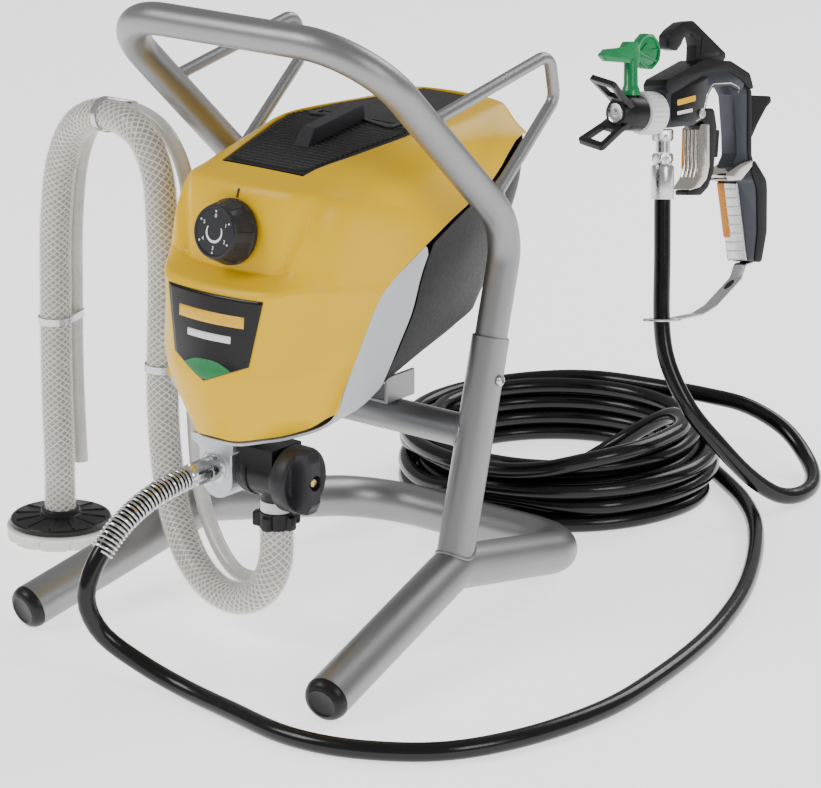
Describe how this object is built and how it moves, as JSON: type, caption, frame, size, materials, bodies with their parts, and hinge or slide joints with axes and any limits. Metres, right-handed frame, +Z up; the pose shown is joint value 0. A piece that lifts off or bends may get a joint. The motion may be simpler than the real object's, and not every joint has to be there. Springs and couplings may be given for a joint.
{
  "type": "airless paint sprayer",
  "caption": "Electric airless paint sprayer on a bent tube stand, with a suction hose and strainer, a coiled paint hose and a spray gun.",
  "frame": {"origin": "on the floor, under the centre of the box of the stand, housing, pump and gun, with the hoses left out", "axes": "+Z up, -Y towards the sprayer's front with its knob and hose outlet, +X to the right of someone looking at the back of the machine's front face along +Y"},
  "size_m": [0.6627, 0.8059, 0.5099],
  "materials": {
    "silver_paint": "satin metallic silver paint",
    "yellow_plastic": "smooth satin moulding",
    "pale_grey_plastic": "smooth satin moulding",
    "black_plastic": "fine textured moulding",
    "dark_grey_plastic": "satin moulding",
    "plated_steel": "bright zinc plating",
    "cast_aluminium": "cast, lightly blasted",
    "brass": "turned",
    "white_plastic": "satin moulding",
    "clear_hose": "milky clear hose with braid inside",
    "black_hose": "glossy hose jacket",
    "green_plastic": "glossy moulding",
    "circuit_board": "printed circuit board"
  },
  "bodies": {
    "root": {"base_tube": "silver_paint", "handle_tube": "silver_paint", "left_upright": "silver_paint", "right_upright": "silver_paint", "left_hook": "silver_paint", "right_hook": "silver_paint", "crossbar": "silver_paint", "motor_bracket": "silver_paint", "front_cover": "yellow_plastic", "side_band": "pale_grey_plastic", "rear_housing": "black_plastic", "rear_deck": "black_plastic", "left_foot_cap": "black_plastic", "right_foot_cap": "black_plastic", "label_plate": "black_plastic", "power_inlet": "black_plastic", "inlet_housing": "black_plastic", "strainer_plate": "black_plastic", "gun_hook": "black_plastic", "storage_tray": "dark_grey_plastic", "gun_body": "dark_grey_plastic", "left_frame_screw": "plated_steel", "right_frame_screw": "plated_steel", "motor_case": "plated_steel", "gear_shaft": "plated_steel", "pressure_control": "plated_steel", "outlet_fitting": "plated_steel", "spring_guard": "plated_steel", "gun_inlet": "plated_steel", "hose_ferrule": "plated_steel", "hose_guide": "plated_steel", "hose_clip_1": "plated_steel", "hose_clip_2": "plated_steel", "hose_clip_3": "plated_steel", "pump_block": "cast_aluminium", "strainer_rim": "white_plastic", "return_nipple": "white_plastic", "suction_hose": "clear_hose", "return_tube": "clear_hose", "paint_hose": "black_hose", "hose_coil": "black_hose", "paint_hose_tail": "black_hose", "circuit_board": "circuit_board"},
    "pressure_knob": {"pressure_knob": "dark_grey_plastic"},
    "power_switch": {"power_switch": "dark_grey_plastic"},
    "storage_lid": {"storage_lid": "black_plastic"},
    "prime_valve": {"prime_knob": "dark_grey_plastic", "prime_screw": "brass"},
    "suction_nut": {"suction_nut": "black_plastic"},
    "hose_nut": {"hose_nut": "plated_steel"},
    "trigger": {"trigger": "plated_steel", "trigger_lock": "black_plastic"},
    "spray_tip": {"spray_tip": "green_plastic"},
    "tip_guard": {"tip_guard": "black_plastic"},
    "union_nut": {"union_nut": "white_plastic"},
    "armature": {"armature": "plated_steel", "cooling_fan": "black_plastic"},
    "drive_gear": {"drive_gear": "plated_steel"},
    "connecting_rod": {"connecting_rod": "cast_aluminium"},
    "piston": {"piston": "plated_steel"}
  },
  "joints": [
    {"name": "pressure_knob_turn", "type": "hinge", "parent": "root", "child": "pressure_knob", "pos_m": [0, -0.2574, 0.34], "axis": [0, -0.9829, 0.184], "range_deg": [-130, 140]},
    {"name": "power_switch_rock", "type": "hinge", "parent": "root", "child": "power_switch", "pos_m": [0.027, 0.017, 0.31], "axis": [-1, 0, 0], "range_deg": [0, 11]},
    {"name": "storage_lid_hinge", "type": "hinge", "parent": "root", "child": "storage_lid", "pos_m": [0, -0.098, 0.4015], "axis": [-1, 0, 0], "range_deg": [0, 80]},
    {"name": "prime_valve_turn", "type": "hinge", "parent": "root", "child": "prime_valve", "pos_m": [0.047, -0.25, 0.148], "axis": [1, 0, 0], "range_deg": [0, 90]},
    {"name": "suction_nut_turn", "type": "hinge", "parent": "root", "child": "suction_nut", "pos_m": [0.033, -0.25, 0.111], "axis": [0, 0, 1], "continuous": true},
    {"name": "hose_nut_turn", "type": "hinge", "parent": "root", "child": "hose_nut", "pos_m": [-0.015, -0.295, 0.148], "axis": [0, -1, 0], "continuous": true},
    {"name": "trigger_pull", "type": "hinge", "parent": "root", "child": "trigger", "pos_m": [0.0637, 0.27373, 0.34678], "axis": [0.979, -0.115, 0.1685], "range_deg": [0, 12], "stiffness_Nm_per_rad": 1, "springref_deg": -11.46},
    {"name": "tip_guard_turn", "type": "hinge", "parent": "root", "child": "tip_guard", "pos_m": [0.052, 0.19367, 0.36012], "axis": [0.1427, 0.9763, -0.1627], "range_deg": [-90, 90]},
    {"name": "spray_tip_turn", "type": "hinge", "parent": "tip_guard", "child": "spray_tip", "pos_m": [0.05264, 0.19806, 0.35939], "axis": [-0.1458, 0.1833, 0.9722], "range_deg": [0, 180]},
    {"name": "union_nut_turn", "type": "hinge", "parent": "root", "child": "union_nut", "pos_m": [0.05556, 0.21808, 0.35606], "axis": [0.1427, 0.9763, -0.1627], "continuous": true},
    {"name": "armature_spin", "type": "hinge", "parent": "root", "child": "armature", "pos_m": [-0.015, -0.142, 0.3], "axis": [0, 1, 0], "continuous": true},
    {"name": "drive_gear_spin", "type": "hinge", "parent": "root", "child": "drive_gear", "pos_m": [-0.015, -0.217, 0.264], "axis": [0, 1, 0], "continuous": true},
    {"name": "connecting_rod_turn", "type": "hinge", "parent": "drive_gear", "child": "connecting_rod", "pos_m": [-0.015, -0.229, 0.256], "axis": [0, 1, 0], "continuous": true},
    {"name": "piston_stroke", "type": "slide", "parent": "root", "child": "piston", "axis": [0, 0, 1], "range_m": [0, 0.016]}
  ],
  "couplings": [
    {"joint": "drive_gear_spin", "follows": "armature_spin", "ratio": -0.2},
    {"joint": "connecting_rod_turn", "follows": "armature_spin", "ratio": 0.2}
  ]
}
